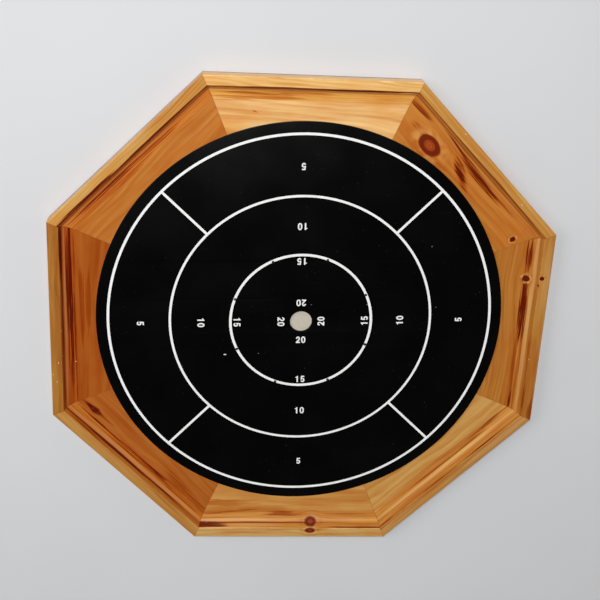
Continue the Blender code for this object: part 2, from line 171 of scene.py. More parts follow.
# The three tones of each board were typed first, then scaled twice by a scratch program, by the
# ratio of the photograph's tones to the render's.
BOARDS = {
    "north": Board(
        ditch=(0.836, 0.503, 0.201), cove=(0.93, 0.482, 0.106), rail=(0.842, 0.531, 0.201),
        pith=(255, -70), slope=0.055, seed=3,
        streaks=[Streak(66, 321, 120, 8, 0.6), Streak(66, 313, 120, 7, 0.4, 0.6),
                 # The two streaks at 338.6 are painted shade: the dark line under the rail's inner
                 # edge.
                 Streak(0, 323.5, 170, 6, 0.4), Streak(-80, 338.6, 170, 3.4, 1.0, 0.5),
                 Streak(0, 338.6, 420, 2.6, 0.85, 1.0), Streak(90, 308, 90, 4, 0.25),
                 Streak(73, 294, 9, 3, 0.5, slope=0.5), Streak(-110, 318, 60, 3, 0.25, slope=-0.05)]),
    "northeast": Board(
        ditch=(0.554, 0.206, 0.0351), cove=(0.602, 0.228, 0.0409), rail=(0.583, 0.305, 0.0769),
        pith=(300, -55), slope=0.02, seed=11,
        streaks=[Streak(-6, 316, 112, 15, 1.0, slope=0.09), Streak(30, 321, 100, 5, 0.9, slope=0.08),
                 Streak(5, 312, 70, 6, 0.5, slope=0.15),
                 Streak(20, 308, 50, 6, 0.6, slope=0.28), Streak(10, 299, 50, 13, 1.0, slope=0.34),
                 Streak(-62, 316, 60, 4, 0.45, slope=0.05),
                 Streak(116, 318, 50, 12, 0.8), Streak(98, 297, 30, 9, 0.5),
                 # Both streaks on the next line are painted shade: the dark line under the rail's inner
                 # edge.
                 Streak(-116, 337.5, 60, 5, 1.0), Streak(0, 338.4, 360, 2.8, 0.7, 0.8)],
        knots=[Knot(69, 294, 18, 11.5, 1.0, 0.7), Knot(-112, 294, 3.5, 4.2)],
        nicks=[Nick(-75, 344, 3, 1.6), Nick(53, 349, 3, 1.5)]),
    "east": Board(
        ditch=(0.492, 0.193, 0.0346), cove=(0.513, 0.223, 0.0419), rail=(0.481, 0.22, 0.0472),
        pith=(330, -45), slope=-0.01, seed=7,
        streaks=[Streak(106, 314, 60, 14, 1.0), Streak(20, 315, 116, 14, 1.0, 0.25),
                 Streak(-50, 318, 150, 5, 0.35, 0.8), Streak(-60, 311.5, 160, 5, 0.4, 0.8),
                 Streak(-118, 312, 40, 5, 0.85),
                 Streak(-107, 337, 74, 5, 1.0), Streak(-90, 336, 130, 7, 0.35, 1.5),
                 Streak(-130, 348, 40, 7, 0.6, 0.8), Streak(-90, 344, 110, 10, 0.25, 2.0)],
        knots=[Knot(78, 340.5, 3.0, 3.6), Knot(67, 336, 1.8, 1.8, 0.0, 0.3),
               Knot(72, 313.5, 4.8, 5.8, 0.0, 1.0)],
        nicks=[Nick(-45, 338, 3, 1.2)],
        gleams=[Streak(10, 324.5, 340, 7, 0.17), Streak(80, 326, 130, 9, 0.17),
                Streak(80, 346, 130, 10, 0.08)]),
    "southeast": Board(
        ditch=(0.632, 0.358, 0.106), cove=(0.593, 0.307, 0.0651), rail=(0.523, 0.271, 0.0768),
        pith=(270, -60), slope=0.01, seed=23,
        streaks=[Streak(58, 335.5, 90, 4, 0.9), Streak(-28, 336, 130, 3.5, 0.7),
                 Streak(-124, 335, 40, 4, 0.7), Streak(-40, 336, 250, 8, 0.3, 2.0),
                 Streak(0, 327.3, 340, 4.5, 0.3, 2.0), Streak(90, 312, 100, 7, 0.7),
                 Streak(15, 317, 200, 7, 0.6), Streak(-30, 311, 200, 9, 0.33, 1.5)],
        gleams=[Streak(0, 322.5, 340, 7, 0.16), Streak(-50, 322, 200, 5, 0.2),
                Streak(85, 345, 130, 9, 0.14)]),
    "south": Board(
        ditch=(0.625, 0.32, 0.0863), cove=(0.565, 0.253, 0.0494), rail=(0.63, 0.4, 0.147),
        pith=(285, -70), slope=-0.03, seed=31,
        streaks=[Streak(90, 336, 130, 4, 0.75), Streak(-10, 337, 120, 4, 0.3, 2.0),
                 Streak(-40, 327.5, 190, 3.5, 0.65, 0.3), Streak(-95, 303, 130, 16, 0.25, 2.0),
                 Streak(90, 314, 130, 10, 0.15, 2.0),
                 Streak(-140, 331.5, 76, 11, 0.85, 1.2), Streak(-118, 332, 56, 6, 0.7),
                 Streak(75, 313, 100, 3.5, 0.5), Streak(-7, 314, 74, 8, 0.6),
                 Streak(-9, 310, 50, 5, 0.5), Streak(-81, 308, 110, 5, 0.5, slope=-0.12),
                 Streak(-97, 295, 80, 14, 0.4, 0.4)],
        knots=[Knot(31, 326, 8.5, 9.0, 0.6, 0.2, 0.12), Knot(30, 341, 7.5, 4.4, 0.5, 0.3, 0.12)],
        gleams=[Streak(0, 323.3, 340, 6.5, 0.14), Streak(-80, 323.3, 150, 6, 0.24),
                Streak(-60, 331.5, 110, 5, 0.12), Streak(-75, 336.5, 160, 3, 0.2)]),
    "southwest": Board(
        ditch=(0.449, 0.14, 0.0235), cove=(0.498, 0.164, 0.0216), rail=(0.495, 0.238, 0.0586),
        pith=(310, -50), slope=0.06, seed=41,
        streaks=[Streak(-20, 328.5, 310, 4.5, 0.95, 0.4), Streak(-95, 332, 110, 9, 0.5),
                 Streak(-30, 312.5, 170, 5, 0.95, 0.3), Streak(-30, 317.5, 190, 4, 0.5),
                 Streak(60, 317, 150, 5, 0.6, slope=0.03), Streak(80, 315, 140, 10, 0.2, 1.5),
                 Streak(83, 307, 120, 20, 0.4, slope=0.09),
                 Streak(-103, 302, 28, 6, 1.0, 0.6), Streak(-98, 302, 64, 4, 0.4, 0.5)],
        knots=[Knot(-101, 302, 4.2, 3.4, 0.0, 0.12)], gleams=[Streak(0, 323.5, 350, 7, 0.11)]),
    "west": Board(
        ditch=(0.397, 0.101, 0.0128), cove=(0.479, 0.123, 0.0152), rail=(0.404, 0.174, 0.0343),
        pith=(295, -65), slope=0.0, seed=53,
        streaks=[Streak(-33, 316, 240, 7, 1.0, 0.5), Streak(-30, 321, 220, 4, 0.85, 0.3),
                 Streak(-72, 318, 120, 11, 0.65, 0.6),
                 Streak(86, 316, 110, 7, 0.8), Streak(-10, 310, 240, 4, 0.7, 0.2),
                 # The long streak at 331.7 is painted shade along the wall under the rail.
                 Streak(-110, 332.5, 110, 9, 1.0, 0.7), Streak(0, 331.7, 350, 4.2, 0.62, 0.7),
                 Streak(-15, 300, 110, 6, 0.38, 0.8), Streak(-25, 291.5, 90, 7, 0.38, 0.8),
                 Streak(-40, 341, 330, 6, 0.2, 2.0)],
        gleams=[Streak(0, 325.2, 350, 4, 0.1)],
        nicks=[Nick(90, 345, 3, 1.2), Nick(79, 350, 3, 1.2), Nick(61, 342, 4, 1.2),
               Nick(52, 335, 2.5, 1.5), Nick(13, 337, 3, 1.2), Nick(66, 310.5, 2.5, 2)]),
    "northwest": Board(
        ditch=(0.549, 0.208, 0.0407), cove=(0.779, 0.251, 0.0387), rail=(0.62, 0.352, 0.102),
        pith=(265, -60), slope=-0.02, seed=61,
        streaks=[Streak(48, 320.5, 160, 12, 0.8), Streak(60, 311.5, 150, 8, 0.35, 0.8),
                 # The streak at 338.6 is painted shade: the dark line under the rail's inner edge.
                 Streak(-32, 319, 110, 10, 0.55), Streak(0, 338.6, 420, 2.6, 0.9, 1.0),
                 Streak(90, 339.6, 130, 4, 1.0, 0.6)]),
}

# Marks on the disc: along and across are its own x and y
WHITE_CHIP = Nick(-106, -49, 5, 2)
CHIPS = (WHITE_CHIP, Nick(14, 25, 1.6, 1.6), Nick(-59, -48, 2.2, 1.4),
         Nick(189, 19, 2, 1.6), Nick(178, 109, 2, 2), Nick(92, 24, 3, 1.6))
DUST = (Nick(249, 41, 2, 1.4), Nick(244, 38, 2, 1.4), Nick(48, 103, 2, 1.5), Nick(140, -197, 2, 1.6),
        Nick(7, -72, 2, 1.4), Nick(-18, -196, 2, 2), Nick(-43, -238, 2.4, 1.4), Nick(182, -130, 2, 1.4))
EDGE_CHIPS = (Nick(48, -281, 7, 4), Nick(-279, 65, 4, 7))
DISC_MARKS = (  # nicks, how much they cover, and their tone
    (CHIPS, 0.5, (0.30, 0.30, 0.30)),
    (DUST, 0.5, (0.05, 0.05, 0.05)),
    ((WHITE_CHIP,), 1.0, (0.75, 0.75, 0.73)),
    (EDGE_CHIPS, 0.8, (0.36, 0.22, 0.12)))


# ------------ shader building

class Nodes:
    """Adds nodes to a new material, or a new world, and links each to what feeds it."""

    def __init__(self, name, family=bpy.data.materials):
        self.owner = family.new(name)
        self.owner.use_nodes = True
        self.tree = self.owner.node_tree

    def add(self, kind, **settings):
        node = self.tree.nodes.new("ShaderNode" + kind)
        for key, value in settings.items():
            setattr(node, key, value)
        return node

    def feed(self, socket, value):
        if isinstance(value, bpy.types.NodeSocket):
            self.tree.links.new(value, socket)
        elif socket.type == 'RGBA':
            socket.default_value = (*value, 1.0)
        else:
            socket.default_value = value

    def wired(self, node, *values):
        """Feeds a node's first inputs, in their order, and returns its first output."""
        for socket, value in zip(node.inputs, values):
            self.feed(socket, value)
        return node.outputs[0]

    def fed(self, node, **inputs):
        """Feeds a node's inputs by name, with _ for a space, and returns the node."""
        for name, value in inputs.items():
            self.feed(node.inputs[name.replace("_", " ")], value)
        return node

    def math(self, operation, *values):
        return self.wired(self.add("Math", operation=operation), *values)

    def chain(self, operation, values):
        """One operation over all the values, such as their sum or the greatest of them."""
        result = values[0]
        for value in values[1:]:
            result = self.math(operation, result, value)
        return result

    def times(self, *values):
        return self.chain('MULTIPLY', values)

    def minus(self, first, second):
        return self.math('SUBTRACT', first, second)

    def scaled_plus(self, value, scale, offset):
        return self.math('MULTIPLY_ADD', value, scale, offset)

    def scaled(self, vector, scales):
        return self.wired(self.add("VectorMath", operation='MULTIPLY'), vector, scales)

    def length(self, vector):
        node = self.add("VectorMath", operation='LENGTH')
        self.wired(node, vector)
        return node.outputs["Value"]

    def combined(self, x, y, z):
        return self.wired(self.add("CombineXYZ"), x, y, z)

    def separated(self, vector):
        node = self.add("SeparateXYZ")
        self.feed(node.inputs[0], vector)
        return node.outputs

    def stretched(self, first, first_scale, second, second_scale, third):
        """A place in a noise, from two measures with a scale each and a third as it is."""
        return self.combined(self.times(first, first_scale), self.times(second, second_scale), third)

    def place(self, turn=0.0, centre=(0.0, 0.0, 0.0)):
        """The point seen from a centre and turned back by an angle about Z, in millimetres."""
        point = self.add("TexCoord").outputs["Object"]
        mapping = self.fed(self.add("Mapping", vector_type='TEXTURE'), Vector=point, Location=centre,
                           Rotation=(0.0, 0.0, turn), Scale=(MM, MM, MM))
        return mapping.outputs[0]

    def turned(self, vector, turn):
        return self.fed(self.add("Mapping"), Vector=vector, Rotation=(0.0, 0.0, turn)).outputs[0]

    def noise(self, vector, detail=2.0, roughness=0.5, scale=1.0):
        node = self.fed(self.add("TexNoise"), Vector=vector, Scale=scale, Detail=detail,
                        Roughness=roughness)
        return node.outputs["Fac"]

    def cells(self, vector, scale):
        """Distance to the nearest of many scattered points."""
        return self.fed(self.add("TexVoronoi"), Vector=vector, Scale=scale).outputs["Distance"]

    def ramp(self, value, low, high, to_low=0.0, to_high=1.0):
        """A smooth step of value from low to high."""
        node = self.add("MapRange", interpolation_type='SMOOTHSTEP')
        return self.wired(node, value, low, high, to_low, to_high)

    def mix(self, share, first, second, blend='MIX'):
        node = self.add("Mix", data_type='RGBA', blend_type=blend)
        self.feed(node.inputs["Factor"], share)
        self.feed(node.inputs[6], first)
        self.feed(node.inputs[7], second)
        return node.outputs[2]

    def tinted(self, tone, share, tint):
        """The tone multiplied by a tint, as far as the share says."""
        return self.mix(share, tone, tint, 'MULTIPLY')

    def bump(self, height, distance):
        return self.fed(self.add("Bump"), Height=height, Distance=distance).outputs[0]

    def finish(self, **inputs):
        """Sets the shader's own sockets and returns the material."""
        self.fed(self.tree.nodes["Principled BSDF"], **inputs)
        return self.owner


# ------------ marks in the wood and on the disc

def knot_field(n, along, across, knot):
    """1 on the knot's outline, which wavers less on a big knot, and a patchy noise round it."""
    x = n.times(n.minus(along, knot.along), 1 / knot.half_length)
    y = n.times(n.minus(across, knot.across), 1 / knot.half_width)
    point = n.combined(x, y, knot.along)
    distance = n.length(n.combined(x, y, 0.0))
    waver = n.minus(n.noise(point, 3, 0.6, scale=1.3), 0.5)
    amount = 0.16 if knot.half_length > BIG_KNOT else 0.35
    return n.scaled_plus(waver, amount, distance), n.noise(point, 2, scale=0.9)


def pushed_aside(n, across, distance, knot):
    """How far the grain at a point was pushed outward by the knot beside it."""
    reach = n.math('POWER', math.e, n.times(distance, distance, -0.32))
    return n.times(n.minus(across, knot.across), reach, 0.75)


def streak_body(n, wood, streak):
    """1 in the middle of a streak's lens shape, 0 on its outline."""
    x = n.minus(wood.along, streak.along)
    centre = n.scaled_plus(x, streak.slope, streak.across)
    y = n.times(n.minus(wood.calm, centre), 2 / streak.width)
    distance = n.length(n.combined(n.times(x, 2 / streak.length), y, 0.0))
    return n.minus(1.0, n.times(distance, distance))


def streak_masks(n, wood, streak):
    """A bundle of dark lines, feathered along the grain, and the glow round it."""
    body = streak_body(n, wood, streak)
    combed = n.scaled_plus(body, 1.3, n.scaled_plus(wood.lines, 6.0, streak.fill - 3.35))
    dark = n.times(n.ramp(combed, -0.1, 0.9), streak.strength)
    glow = n.times(n.ramp(body, -0.35, 0.8), streak.strength)
    return dark, glow


def nick_mask(n, along, across, nicks):
    """1 inside any of the nicks, 0 outside them."""
    masks = []
    for nick in nicks:
        x = n.times(n.minus(along, nick.along), 2 / nick.length)
        y = n.times(n.minus(across, nick.across), 2 / nick.width)
        masks.append(n.ramp(n.length(n.combined(x, y, 0.0)), 1.0, 0.6))
    return n.chain('MAXIMUM', masks)


# ------------ pine

def wood_fields(n, board, turn):
    """The point's place on the board, and the noises there, each in a seed of its own.

    Calm is the place across, with the knots' push taken out.
    """
    out, along, height = n.separated(n.place(turn))[:3]
    across = n.scaled_plus(n.minus(height, DITCH_TOP / MM), SLOPE_SHARE, out)
    knots = [knot_field(n, along, across, knot) for knot in board.knots]
    push = [pushed_aside(n, across, distance, knot)
            for (distance, patch), knot in zip(knots, board.knots)]
    calm = n.minus(across, n.chain('ADD', push)) if push else across

    slow = n.noise(n.stretched(along, 0.006, calm, 0.02, board.seed), 1)
    grain = n.scaled_plus(n.minus(slow, 0.5), 24.0, calm)
    grain = n.scaled_plus(along, -board.slope, grain)
    return Wood(
        out, along, height, across, calm, knots,
        line=ring_lines(n, along, grain, height, board),
        band=n.noise(n.stretched(grain, 0.10, along, 0.004, board.seed + 13), 4, 0.6),
        cloud=n.noise(n.stretched(along, 0.014, across, 0.03, board.seed + 17), 3),
        fibre=n.noise(n.stretched(grain, 1.6, along, 0.04, height), 3, 0.65),
        lines=n.noise(n.stretched(calm, 0.50, along, 0.012, board.seed + 21), 3, 0.55))


def ring_lines(n, along, grain, height, board):
    """Dark late wood of the yearly rings, as the section cuts them.  0 to 1."""
    aside = n.minus(grain, board.pith[0])
    depth = n.minus(height, board.pith[1])
    radius = n.length(n.combined(aside, depth, 0.0))
    waver = n.noise(n.stretched(along, 0.013, radius, 0.06, board.seed + 5), 2)
    rings = n.scaled_plus(waver, 1.2, n.times(radius, 1 / YEAR_WIDTH))
    late = n.math('FRACT', rings)
    line = n.times(n.ramp(late, 0.15, 0.85), n.ramp(late, 1.0, 0.88))
    weight = n.noise(n.stretched(n.math('FLOOR', rings), 1.0, along, 0.006, board.seed + 9), 1,
                     scale=1.7)
    return n.times(line, n.ramp(weight, 0.3, 0.7, 0.1, 1.0))


def clear_wood(n, wood, board):
    """The board's three tones under its bands, clouds, rings and fibres."""
    tone = n.mix(n.ramp(wood.across, *COVE_TONE_STARTS), board.ditch, board.cove)
    tone = n.mix(n.ramp(wood.across, *RAIL_TONE_STARTS), tone, board.rail)
    for share, tint in (
            (n.ramp(wood.band, 0.42, 0.75), (0.84, 0.66, 0.46)),
            (n.ramp(wood.band, 0.5, 0.25, 0.0, 0.8), (1.10, 1.18, 1.30)),
            (n.ramp(wood.cloud, 0.45, 0.75, 0.0, 0.8), (0.94, 0.76, 0.52)),
            (n.ramp(wood.cloud, 0.5, 0.25, 0.0, 0.7), (1.06, 1.16, 1.20)),
            (n.times(wood.line, 0.6), LATE_WOOD_TINT),
            (n.ramp(wood.lines, 0.5, 0.75, 0.0, 0.6), (0.86, 0.68, 0.48)),
            (n.ramp(wood.fibre, 0.35, 0.75, 0.0, 0.5), (0.86, 0.78, 0.68))):
        tone = n.tinted(tone, share, tint)
    return tone


def with_streaks(n, tone, wood, board):
    """Burnt streaks with their glow, some of them painted shade under the rail, then pale painted
    highlights.
    """
    masks = [streak_masks(n, wood, streak) for streak in board.streaks]
    burnt_and_shade = n.chain('MAXIMUM', [dark for dark, glow in masks])
    glowing = n.chain('MAXIMUM', [glow for dark, glow in masks])
    tone = n.tinted(tone, n.times(glowing, 0.8), (0.86, 0.62, 0.38))
    tone = n.tinted(tone, n.ramp(burnt_and_shade, 0.0, 0.5), LATE_WOOD_TINT)
    # Dark streaks: burnt grain, and painted shade on the long lines under the rail.
    tone = n.mix(n.ramp(burnt_and_shade, 0.3, 1.0), tone, BURNT_WOOD_AND_SHADE)
    if not board.gleams:
        return tone
    # Painted highlight: pale streaks where the varnish catches light.
    pale = [n.times(n.ramp(streak_body(n, wood, painted_highlight), -0.3, 0.8), painted_highlight.strength)
            for painted_highlight in board.gleams]
    return n.mix(n.chain('MAXIMUM', pale), tone, PAINTED_HIGHLIGHT_TONE)


def with_knot(n, tone, distance, patch, knot, clear):
    """Pale halo, dark bark ring and ringed heart of one knot, laid over the tone."""
    tone = n.tinted(tone, n.ramp(distance, 2.6, 1.5, 0.0, 0.4), (0.84, 0.60, 0.42))
    pale = tuple(min(0.9, part * gain) for part, gain in zip(clear, (1.25, 1.6, 2.3)))
    halo = n.times(n.ramp(distance, 2.1, 1.15, 0.0, knot.halo), n.ramp(patch, 0.35, 0.6))
    tone = n.mix(halo, tone, pale)
    rings = n.math('SINE', n.times(distance, 26.0))
    heart = n.mix(n.ramp(rings, -0.6, 1.0, 0.0, 0.5), (0.40, 0.075, 0.012), (0.24, 0.028, 0.005))
    heart = n.mix(1.0 - knot.heart, heart, (0.085, 0.006, 0.001))
    heart = n.mix(n.ramp(distance, 0.28, 0.62, 0.0, 0.85), heart, (0.125, 0.006, 0.001))
    heart = n.mix(n.ramp(rings, 0.2, 1.0, 0.0, 0.35), heart, (0.20, 0.03, 0.006))
    return n.mix(n.ramp(distance, 1.12 + knot.soft, 0.9 - knot.soft), tone, heart)


def worn_edges_and_sheen(n, wood, board):
    """Where hands have rubbed the colour off the rail's two edges, which also carry a painted
    highlight.
    """
    patchy = n.noise(n.stretched(wood.along, 0.11, wood.out, 1.0, board.seed + 25), 3)
    inner = n.math('ABSOLUTE', n.minus(wood.out, (FRAME_APOTHEM - RAIL_WIDTH) / MM + 0.2))
    outer = n.math('ABSOLUTE', n.minus(wood.out, FRAME_APOTHEM / MM - 0.3))
    near = n.ramp(n.math('MINIMUM', inner, outer), 1.3, 0.3)
    high = n.ramp(wood.height, RAIL_TOP / MM - 2.0, RAIL_TOP / MM - 0.4)
    return n.times(near, high, n.ramp(patchy, 0.45, 0.7, 0.0, 0.8))


def with_wear_and_sheen(n, tone, wood, board):
    """Dirt along the mitres, rubbed edges with their painted highlight, and pale nicks."""
    to_middle = n.times(n.math('ABSOLUTE', wood.along), -1.0)
    to_mitre = n.scaled_plus(wood.out, math.tan(SIDE_TURN / 2), to_middle)
    tone = n.tinted(tone, n.ramp(to_mitre, 1.2, 0.2, 0.0, 0.35), (0.60, 0.40, 0.25))
    # Rubbed wear and painted highlight: the rail's edges turn paler and bluer.
    tone = n.tinted(tone, worn_edges_and_sheen(n, wood, board), (1.25, 1.35, 1.6))
    if not board.nicks:
        return tone
    nicks = nick_mask(n, wood.along, wood.across, board.nicks)
    return n.mix(n.times(nicks, 0.7), tone, BARE_WOOD)


def wood_relief(n, wood):
    """Heights of rings and fibres, with the long waves of a planed and brushed surface."""
    brushed = n.noise(n.stretched(wood.out, 0.35, wood.along, 0.03, n.times(wood.height, 0.35)), 3)
    rings = n.scaled_plus(wood.line, 0.35, n.times(wood.fibre, 0.5))
    return n.scaled_plus(brushed, 1.3, rings)


def varnished_pine(name, board, turn):
    """Knotty pine of one moulding under clear varnish."""
    n = Nodes(name)
    wood = wood_fields(n, board, turn)
    tone = with_streaks(n, clear_wood(n, wood, board), wood, board)
    for (distance, patch), knot in zip(wood.knots, board.knots):
        tone = with_knot(n, tone, distance, patch, knot, board.ditch)
    return n.finish(Base_Color=with_wear_and_sheen(n, tone, wood, board),
                    Roughness=n.ramp(wood.cloud, 0.2, 0.8, 0.36, 0.5),
                    Normal=n.bump(wood_relief(n, wood), 0.06 * MM), Specular_IOR_Level=0.06,
                    Coat_Weight=0.4, Coat_Roughness=0.12)


def raw_pine(name, turn):
    """Unvarnished faces: underside, rabbet and mitres, each board's noises in a place of its own."""
    n = Nodes(name)
    out, along, height = n.separated(n.place(turn))[:3]
    sway = n.noise(n.stretched(along, 0.01, out, 0.03, turn), 2)
    grain = n.scaled_plus(sway, 22.0, out)
    late = n.math('FRACT', n.times(n.scaled_plus(height, 0.7, grain), 0.27))
    line = n.times(n.ramp(late, 0.3, 0.92), n.ramp(late, 1.0, 0.95))
    fibre = n.noise(n.stretched(grain, 1.6, along, 0.06, height), 3, 0.6)
    stain = n.noise(n.stretched(along, 0.02, out, 0.05, turn + 4.0), 3)
    rubbed = n.ramp(out, FRAME_APOTHEM / MM - 5.0, FRAME_APOTHEM / MM)
    tone = n.mix(n.times(line, 0.6), (0.62, 0.42, 0.22), (0.40, 0.22, 0.09))
    tone = n.tinted(tone, n.ramp(fibre, 0.3, 0.7, 0.0, 0.5), (0.78, 0.70, 0.60))
    tone = n.tinted(tone, n.ramp(stain, 0.5, 0.8, 0.0, 0.6), (0.62, 0.50, 0.40))
    tone = n.tinted(tone, n.times(rubbed, 0.6), (0.50, 0.36, 0.25))
    relief = n.scaled_plus(line, 0.5, fibre)
    return n.finish(Base_Color=tone, Roughness=n.ramp(fibre, 0.2, 0.8, 0.58, 0.74),
                    Normal=n.bump(relief, 0.09 * MM), Specular_IOR_Level=0.3)


# ------------ other materials

def scratches(n, place):
    """Two sets of long hairlines that cross at an angle."""
    first = n.noise(n.scaled(place, (0.012, 0.55, 1.0)), 3, 0.7)
    crossing = n.noise(n.scaled(n.turned(place, SCRATCH_TURN), (0.015, 0.45, 1.0)), 3, 0.7)
    return n.math('MAXIMUM', n.ramp(first, 0.70, 0.76), n.ramp(crossing, 0.71, 0.77))


def black_lacquer():
    """Satin black paint with dust, hairline scratches and chips."""
    n = Nodes("black_lacquer")
    place = n.place(PRINT_TURN, DISC_CENTRE)
    x, y = n.separated(place)[:2]
    wide = n.noise(place, 3, scale=0.012)
    peel = n.noise(place, 2, scale=0.35)
    fine = scratches(n, place)
    specks = n.ramp(n.cells(place, 0.11), 0.05, 0.03)
    tone = n.mix(n.ramp(wide, 0.3, 0.7), (0.0014, 0.0014, 0.0016), (0.0020, 0.0020, 0.0022))
    tone = n.mix(n.times(fine, 0.4), tone, (0.010, 0.010, 0.011))
    tone = n.mix(n.times(specks, 0.35), tone, (0.10, 0.10, 0.10))
    for nicks, share, colour in DISC_MARKS:
        tone = n.mix(n.times(nick_mask(n, x, y, nicks), share), tone, colour)
    rough = n.scaled_plus(fine, 0.03, n.ramp(wide, 0.3, 0.7, 0.20, 0.25))
    relief = n.scaled_plus(fine, -0.06, peel)
    return n.finish(Base_Color=tone, Roughness=rough, Normal=n.bump(relief, 0.02 * MM),
                    Specular_IOR_Level=0.25)


def white_ink():
    """Screen-printed white, a little thin and rubbed in places."""
    n = Nodes("white_ink")
    place = n.place()
    rub = n.noise(place, 4, 0.65, scale=0.09)
    grit = n.noise(place, 3, 0.7, scale=1.1)
    tone = n.mix(n.ramp(rub, 0.35, 0.7), (0.90, 0.90, 0.89), (0.82, 0.82, 0.80))
    tone = n.mix(n.ramp(grit, 0.66, 0.74, 0.0, 0.8), tone, (0.30, 0.30, 0.30))
    return n.finish(Base_Color=tone, Roughness=n.ramp(grit, 0.2, 0.8, 0.42, 0.55),
                    Normal=n.bump(grit, 0.02 * MM), Specular_IOR_Level=0.35)


def pale_board():
    """Pale fibre board that shows in the 20-hole, darkened as far out as the peg holes: painted shade
    inside them.
    """
    n = Nodes("pale_bed_board")
    place = n.place()
    flakes = n.noise(n.scaled(place, (0.5, 1.3, 1.0)), 4, 0.65)
    cloud = n.noise(place, 2, scale=0.06)
    painted_shade = n.ramp(n.length(place), *PEG_HOLE_SHADE_STARTS)
    tone = n.mix(n.ramp(flakes, 0.3, 0.7), (0.585, 0.545, 0.455), (0.515, 0.465, 0.375))
    tone = n.tinted(tone, n.ramp(cloud, 0.4, 0.7, 0.0, 0.4), (0.88, 0.84, 0.80))
    # Painted shade: the board turns dark from just inside the peg circle, so the peg holes look shaded.
    tone = n.mix(painted_shade, tone, (0.13, 0.12, 0.11))
    return n.finish(Base_Color=tone, Roughness=n.ramp(flakes, 0.2, 0.8, 0.55, 0.7),
                    Normal=n.bump(flakes, 0.05 * MM), Specular_IOR_Level=0.3)


def brown_hardboard():
    """Pressed hardboard, with the screen's imprint on its outer face."""
    n = Nodes("brown_hardboard")
    place = n.place()
    x, y = n.separated(place)[:2]
    fibre = n.noise(place, 5, 0.7, scale=0.9)
    cloud = n.noise(place, 3, scale=0.02)
    waves = n.times(n.math('SINE', n.times(x, SCREEN_WAVES)), n.math('SINE', n.times(y, SCREEN_WAVES)))
    tone = n.mix(n.ramp(fibre, 0.3, 0.72), (0.20, 0.105, 0.05), (0.11, 0.053, 0.024))
    tone = n.tinted(tone, n.ramp(cloud, 0.35, 0.7, 0.0, 0.6), (0.75, 0.70, 0.66))
    tone = n.tinted(tone, n.ramp(waves, 0.0, -1.0, 0.0, 0.35), (0.7, 0.65, 0.6))
    relief = n.scaled_plus(waves, 0.6, fibre)
    return n.finish(Base_Color=tone, Roughness=n.ramp(fibre, 0.2, 0.8, 0.62, 0.78),
                    Normal=n.bump(relief, 0.12 * MM), Specular_IOR_Level=0.3)


def beech():
    """Pale pressed beech of the biscuits."""
    n = Nodes("beech_biscuit")
    fibre = n.noise(n.scaled(n.place(), (0.9, 0.9, 1.4)), 4, 0.65)
    tone = n.mix(n.ramp(fibre, 0.3, 0.7), (0.56, 0.38, 0.22), (0.42, 0.26, 0.14))
    return n.finish(Base_Color=tone, Roughness=n.ramp(fibre, 0.2, 0.8, 0.6, 0.75),
                    Normal=n.bump(fibre, 0.08 * MM), Specular_IOR_Level=0.3)


def zinc():
    """Zinc plating with its crystals, dulled in patches."""
    n = Nodes("zinc_screw")
    place = n.place()
    crystal = n.noise(place, 3, 0.6, scale=1.6)
    dull = n.noise(place, 2, scale=0.5)
    tone = n.mix(n.ramp(crystal, 0.3, 0.7), (0.62, 0.61, 0.57), (0.44, 0.44, 0.42))
    tone = n.mix(n.ramp(dull, 0.5, 0.75, 0.0, 0.5), tone, (0.36, 0.33, 0.28))
    return n.finish(Base_Color=tone, Metallic=1.0, Roughness=n.ramp(dull, 0.3, 0.7, 0.28, 0.48),
                    Normal=n.bump(crystal, 0.03 * MM))


def floor_paint():
    """Pale matt paint of the studio floor."""
    n = Nodes("floor_paint")
    place = n.place()
    cloud = n.noise(place, 3, scale=0.004)
    grain = n.noise(place, 3, scale=0.3)
    tone = n.mix(n.ramp(cloud, 0.3, 0.7), (0.655, 0.665, 0.68), (0.64, 0.65, 0.665))
    return n.finish(Base_Color=tone, Roughness=n.ramp(grain, 0.2, 0.8, 0.7, 0.8),
                    Specular_IOR_Level=0.2)


# ------------ mesh helpers

def new_object(name, data):
    """A new object in the scene, of a mesh, curve, light or camera."""
    obj = bpy.data.objects.new(name, data)
    bpy.context.scene.collection.objects.link(obj)
    return obj


def finished(name, mesh, degrees, *materials):
    """The object of a mesh in these materials, smooth but for edges sharper than an angle."""
    mesh.materials.clear()
    for material in materials:
        mesh.materials.append(material)
    mesh.shade_smooth()
    mesh.set_sharp_from_angle(angle=math.radians(degrees))
    return new_object(name, mesh)


def mesh_from(bm, name):
    """The bmesh as a mesh.  The bmesh is freed."""
    mesh = bpy.data.meshes.new(name)
    bm.to_mesh(mesh)
    bm.free()
    return mesh


def baked_mesh(obj, name):
    """The object's mesh with its modifiers and its place, welded.  The object is removed."""
    bpy.context.view_layer.update()
    graph = bpy.context.evaluated_depsgraph_get()
    mesh = bpy.data.meshes.new_from_object(obj.evaluated_get(graph))
    mesh.name = name
    mesh.transform(obj.matrix_world)
    bpy.data.objects.remove(obj, do_unlink=True)
    bm = bmesh.new()
    bm.from_mesh(mesh)
    bmesh.ops.remove_doubles(bm, verts=bm.verts, dist=WELD)
    bmesh.ops.recalc_face_normals(bm, faces=bm.faces)
    bm.to_mesh(mesh)
    bm.free()
    return mesh


def cut_mesh(mesh, cutter, name):
    """The mesh less the cutter, which is removed."""
    blank = new_object(name, mesh)
    modifier = blank.modifiers.new("cut", 'BOOLEAN')
    modifier.operation = 'DIFFERENCE'
    modifier.solver = 'EXACT'
    modifier.object = cutter
    made = baked_mesh(blank, name)
    bpy.data.objects.remove(cutter, do_unlink=True)
    return made


